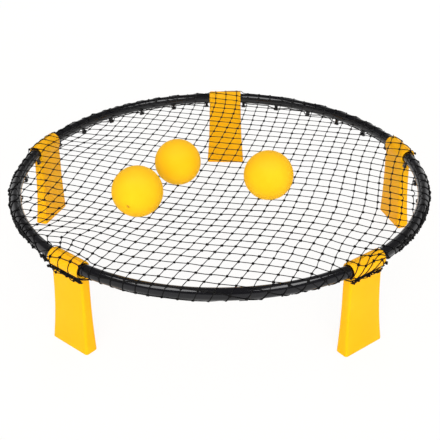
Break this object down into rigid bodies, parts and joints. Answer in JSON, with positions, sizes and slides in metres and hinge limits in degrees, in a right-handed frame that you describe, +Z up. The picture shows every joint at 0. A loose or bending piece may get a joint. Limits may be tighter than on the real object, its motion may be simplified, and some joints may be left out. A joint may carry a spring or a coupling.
{
  "type": "roundnet set",
  "caption": "Ground-level bounce net game: a knotted net stretched over a round tube rim on short folding legs, with balls lying on the net.",
  "frame": {"origin": "on the ground, under the middle of the round rim", "axes": "+Z up, square to the net; +Y towards the back leg, away from the picture's camera; +X to the picture's right"},
  "size_m": [0.9173, 0.9229, 0.3054],
  "materials": {
    "rim_plastic": "glossy black moulded plastic",
    "leg_plastic": "satin yellow moulded plastic",
    "net_cord": "black knotted synthetic cord",
    "ball_rubber": "matte yellow rubber",
    "valve_rubber": "matte darker yellow rubber"
  },
  "bodies": {
    "ring": {"rim_tube_back_left": "rim_plastic", "rim_tube_left": "rim_plastic", "rim_tube_front": "rim_plastic", "rim_tube_right": "rim_plastic", "rim_tube_back_right": "rim_plastic", "net": "net_cord"},
    "leg_back": {"leg_back": "leg_plastic"},
    "leg_back_left": {"leg_back_left": "leg_plastic"},
    "leg_front_left": {"leg_front_left": "leg_plastic"},
    "leg_front_right": {"leg_front_right": "leg_plastic"},
    "leg_back_right": {"leg_back_right": "leg_plastic"},
    "ball_front": {"ball_front": "ball_rubber", "valve_front": "valve_rubber"},
    "ball_back": {"ball_back": "ball_rubber", "valve_back": "valve_rubber"},
    "ball_right": {"ball_right": "ball_rubber", "valve_right": "valve_rubber"}
  },
  "joints": [
    {"name": "fold_back", "type": "hinge", "parent": "ring", "child": "leg_back", "pos_m": [0, 0.442, 0.188], "axis": [-1, 0, 0], "range_deg": [0, 80]},
    {"name": "fold_back_left", "type": "hinge", "parent": "ring", "child": "leg_back_left", "pos_m": [-0.4194, 0.13952, 0.188], "axis": [-0.3156, -0.9489, 0], "range_deg": [0, 80]},
    {"name": "fold_front_left", "type": "hinge", "parent": "ring", "child": "leg_front_left", "pos_m": [-0.27091, -0.34925, 0.188], "axis": [0.7902, -0.6129, 0], "range_deg": [0, 80]},
    {"name": "fold_front_right", "type": "hinge", "parent": "ring", "child": "leg_front_right", "pos_m": [0.28234, -0.34008, 0.188], "axis": [0.7694, 0.6388, 0], "range_deg": [0, 80]},
    {"name": "fold_back_right", "type": "hinge", "parent": "ring", "child": "leg_back_right", "pos_m": [0.41842, 0.14244, 0.188], "axis": [-0.3223, 0.9466, 0], "range_deg": [0, 80]},
    {"name": "lift_ball_front", "type": "slide", "parent": "ring", "child": "ball_front", "axis": [0, 0, 1], "range_m": [0, 0.25]},
    {"name": "lift_ball_back", "type": "slide", "parent": "ring", "child": "ball_back", "axis": [0, 0, 1], "range_m": [0, 0.25]},
    {"name": "lift_ball_right", "type": "slide", "parent": "ring", "child": "ball_right", "axis": [0, 0, 1], "range_m": [0, 0.25]}
  ]
}
